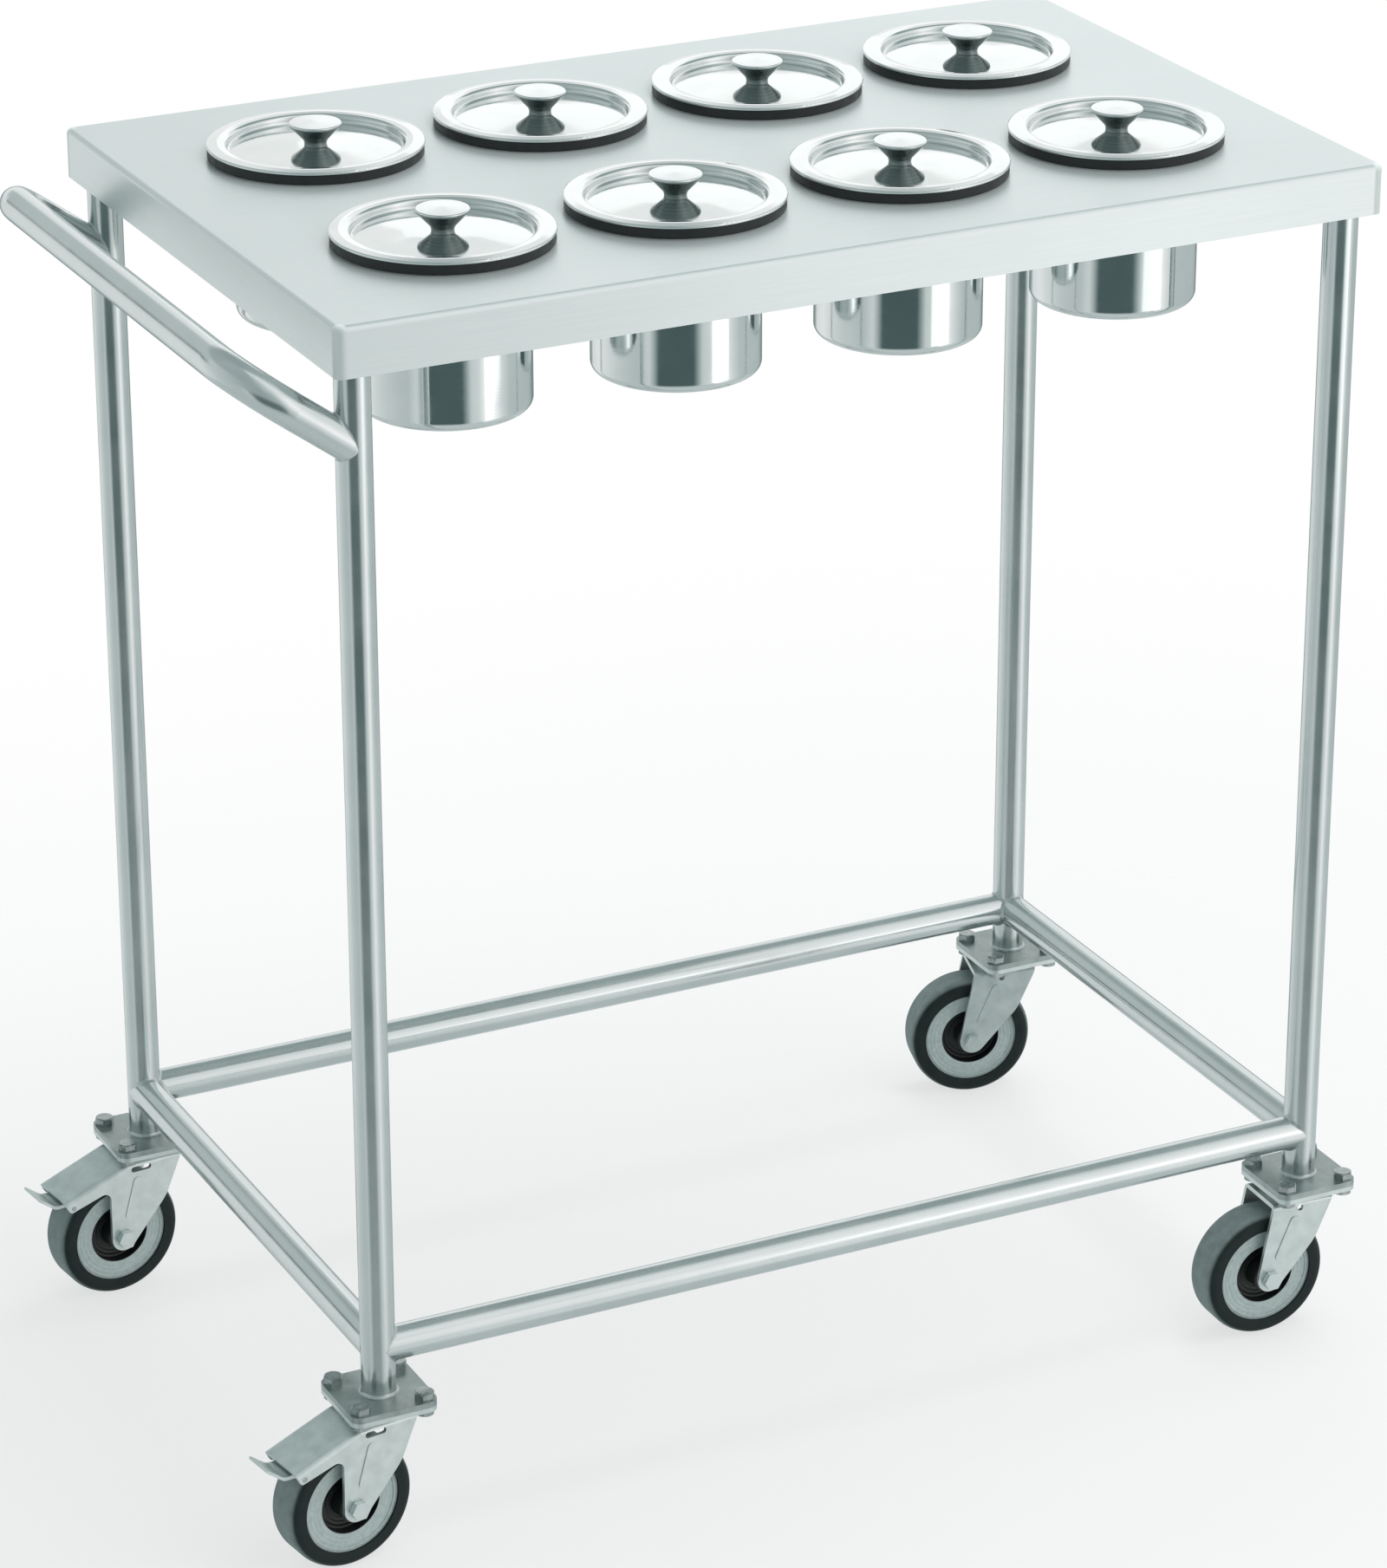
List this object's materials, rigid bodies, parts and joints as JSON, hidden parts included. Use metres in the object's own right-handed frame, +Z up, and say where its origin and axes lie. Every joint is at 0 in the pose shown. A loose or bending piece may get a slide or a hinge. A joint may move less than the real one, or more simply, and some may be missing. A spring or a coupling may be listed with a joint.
{
  "type": "spice trolley",
  "caption": "Wheeled catering trolley: a folded steel top with lidded lift-out spice pots hung in holes, on a tube frame with a push handle and braked swivel casters.",
  "frame": {"origin": "on the floor, under the middle of the outer box", "axes": "+Z up; X along the table, with the push handle at -X; the front long side at -Y"},
  "size_m": [0.8932, 0.5274, 0.9487],
  "materials": {
    "satin_sheet": "satin stainless",
    "polished_tube": "polished stainless",
    "bright_pot": "mirror polished stainless",
    "bright_lid": "mirror polished stainless",
    "bright_knob": "turned and polished",
    "zinc_plate": "zinc plated, satin",
    "bright_fastener": "bright zinc plated",
    "hub_plastic": "moulded, light grey",
    "tyre_rubber": "matt dark grey",
    "black_ring": "semi-matt black"
  },
  "bodies": {
    "frame": {"top_panel": "satin_sheet", "leg_front_left": "polished_tube", "leg_front_right": "polished_tube", "leg_rear_left": "polished_tube", "leg_rear_right": "polished_tube", "front_stretcher": "polished_tube", "rear_stretcher": "polished_tube", "left_stretcher": "polished_tube", "right_stretcher": "polished_tube", "push_handle": "polished_tube", "leg_flanges": "satin_sheet", "foot_plates": "zinc_plate", "caster_plates": "zinc_plate", "king_pins": "bright_fastener", "plate_bolts": "bright_fastener", "seat_rings": "black_ring"},
    "caster_front_left": {"fork_front_left": "zinc_plate", "axle_front_left": "bright_fastener", "brake_pin_front_left": "bright_fastener"},
    "wheel_front_left": {"wheel_hub_front_left": "hub_plastic", "tyre_front_left": "tyre_rubber"},
    "brake_front_left": {"brake_pedal_front_left": "zinc_plate"},
    "caster_front_right": {"fork_front_right": "zinc_plate", "axle_front_right": "bright_fastener"},
    "wheel_front_right": {"wheel_hub_front_right": "hub_plastic", "tyre_front_right": "tyre_rubber"},
    "caster_rear_left": {"fork_rear_left": "zinc_plate", "axle_rear_left": "bright_fastener", "brake_pin_rear_left": "bright_fastener"},
    "wheel_rear_left": {"wheel_hub_rear_left": "hub_plastic", "tyre_rear_left": "tyre_rubber"},
    "brake_rear_left": {"brake_pedal_rear_left": "zinc_plate"},
    "caster_rear_right": {"fork_rear_right": "zinc_plate", "axle_rear_right": "bright_fastener"},
    "wheel_rear_right": {"wheel_hub_rear_right": "hub_plastic", "tyre_rear_right": "tyre_rubber"},
    "pot_front_1": {"pot_front_1": "bright_pot"},
    "lid_front_1": {"lid_front_1": "bright_lid", "lid_knob_front_1": "bright_knob"},
    "pot_front_2": {"pot_front_2": "bright_pot"},
    "lid_front_2": {"lid_front_2": "bright_lid", "lid_knob_front_2": "bright_knob"},
    "pot_front_3": {"pot_front_3": "bright_pot"},
    "lid_front_3": {"lid_front_3": "bright_lid", "lid_knob_front_3": "bright_knob"},
    "pot_front_4": {"pot_front_4": "bright_pot"},
    "lid_front_4": {"lid_front_4": "bright_lid", "lid_knob_front_4": "bright_knob"},
    "pot_rear_1": {"pot_rear_1": "bright_pot"},
    "lid_rear_1": {"lid_rear_1": "bright_lid", "lid_knob_rear_1": "bright_knob"},
    "pot_rear_2": {"pot_rear_2": "bright_pot"},
    "lid_rear_2": {"lid_rear_2": "bright_lid", "lid_knob_rear_2": "bright_knob"},
    "pot_rear_3": {"pot_rear_3": "bright_pot"},
    "lid_rear_3": {"lid_rear_3": "bright_lid", "lid_knob_rear_3": "bright_knob"},
    "pot_rear_4": {"pot_rear_4": "bright_pot"},
    "lid_rear_4": {"lid_rear_4": "bright_lid", "lid_knob_rear_4": "bright_knob"}
  },
  "joints": [
    {"name": "swivel_front_left", "type": "hinge", "parent": "frame", "child": "caster_front_left", "pos_m": [-0.34636, -0.23026, 0.1115], "axis": [0, 0, 1], "continuous": true},
    {"name": "roll_front_left", "type": "hinge", "parent": "caster_front_left", "child": "wheel_front_left", "pos_m": [-0.37904, -0.23486, 0.05], "axis": [-0.1392, 0.9903, 0], "continuous": true},
    {"name": "press_brake_front_left", "type": "hinge", "parent": "caster_front_left", "child": "brake_front_left", "pos_m": [-0.42063, -0.2407, 0.08703], "axis": [0.1392, -0.9903, 0], "range_deg": [0, 20]},
    {"name": "swivel_front_right", "type": "hinge", "parent": "frame", "child": "caster_front_right", "pos_m": [0.41364, -0.23026, 0.1115], "axis": [0, 0, 1], "continuous": true},
    {"name": "roll_front_right", "type": "hinge", "parent": "caster_front_right", "child": "wheel_front_right", "pos_m": [0.38066, -0.22911, 0.05], "axis": [0.0349, 0.9994, 0], "continuous": true},
    {"name": "swivel_rear_left", "type": "hinge", "parent": "frame", "child": "caster_rear_left", "pos_m": [-0.34636, 0.22374, 0.1115], "axis": [0, 0, 1], "continuous": true},
    {"name": "roll_rear_left", "type": "hinge", "parent": "caster_rear_left", "child": "wheel_rear_left", "pos_m": [-0.37915, 0.22, 0.05], "axis": [-0.1132, 0.9936, 0], "continuous": true},
    {"name": "press_brake_rear_left", "type": "hinge", "parent": "caster_rear_left", "child": "brake_rear_left", "pos_m": [-0.42088, 0.21524, 0.08703], "axis": [0.1132, -0.9936, 0], "range_deg": [0, 20]},
    {"name": "swivel_rear_right", "type": "hinge", "parent": "frame", "child": "caster_rear_right", "pos_m": [0.41364, 0.22374, 0.1115], "axis": [0, 0, 1], "continuous": true},
    {"name": "roll_rear_right", "type": "hinge", "parent": "caster_rear_right", "child": "wheel_rear_right", "pos_m": [0.38184, 0.23256, 0.05], "axis": [0.2672, 0.9636, 0], "continuous": true},
    {"name": "lift_pot_front_1", "type": "slide", "parent": "frame", "child": "pot_front_1", "axis": [0, 0, 1], "range_m": [0, 0.15]},
    {"name": "lift_lid_front_1", "type": "slide", "parent": "pot_front_1", "child": "lid_front_1", "axis": [0, 0, 1], "range_m": [0, 0.08]},
    {"name": "lift_pot_front_2", "type": "slide", "parent": "frame", "child": "pot_front_2", "axis": [0, 0, 1], "range_m": [0, 0.15]},
    {"name": "lift_lid_front_2", "type": "slide", "parent": "pot_front_2", "child": "lid_front_2", "axis": [0, 0, 1], "range_m": [0, 0.08]},
    {"name": "lift_pot_front_3", "type": "slide", "parent": "frame", "child": "pot_front_3", "axis": [0, 0, 1], "range_m": [0, 0.15]},
    {"name": "lift_lid_front_3", "type": "slide", "parent": "pot_front_3", "child": "lid_front_3", "axis": [0, 0, 1], "range_m": [0, 0.08]},
    {"name": "lift_pot_front_4", "type": "slide", "parent": "frame", "child": "pot_front_4", "axis": [0, 0, 1], "range_m": [0, 0.15]},
    {"name": "lift_lid_front_4", "type": "slide", "parent": "pot_front_4", "child": "lid_front_4", "axis": [0, 0, 1], "range_m": [0, 0.08]},
    {"name": "lift_pot_rear_1", "type": "slide", "parent": "frame", "child": "pot_rear_1", "axis": [0, 0, 1], "range_m": [0, 0.15]},
    {"name": "lift_lid_rear_1", "type": "slide", "parent": "pot_rear_1", "child": "lid_rear_1", "axis": [0, 0, 1], "range_m": [0, 0.08]},
    {"name": "lift_pot_rear_2", "type": "slide", "parent": "frame", "child": "pot_rear_2", "axis": [0, 0, 1], "range_m": [0, 0.15]},
    {"name": "lift_lid_rear_2", "type": "slide", "parent": "pot_rear_2", "child": "lid_rear_2", "axis": [0, 0, 1], "range_m": [0, 0.08]},
    {"name": "lift_pot_rear_3", "type": "slide", "parent": "frame", "child": "pot_rear_3", "axis": [0, 0, 1], "range_m": [0, 0.15]},
    {"name": "lift_lid_rear_3", "type": "slide", "parent": "pot_rear_3", "child": "lid_rear_3", "axis": [0, 0, 1], "range_m": [0, 0.08]},
    {"name": "lift_pot_rear_4", "type": "slide", "parent": "frame", "child": "pot_rear_4", "axis": [0, 0, 1], "range_m": [0, 0.15]},
    {"name": "lift_lid_rear_4", "type": "slide", "parent": "pot_rear_4", "child": "lid_rear_4", "axis": [0, 0, 1], "range_m": [0, 0.08]}
  ]
}
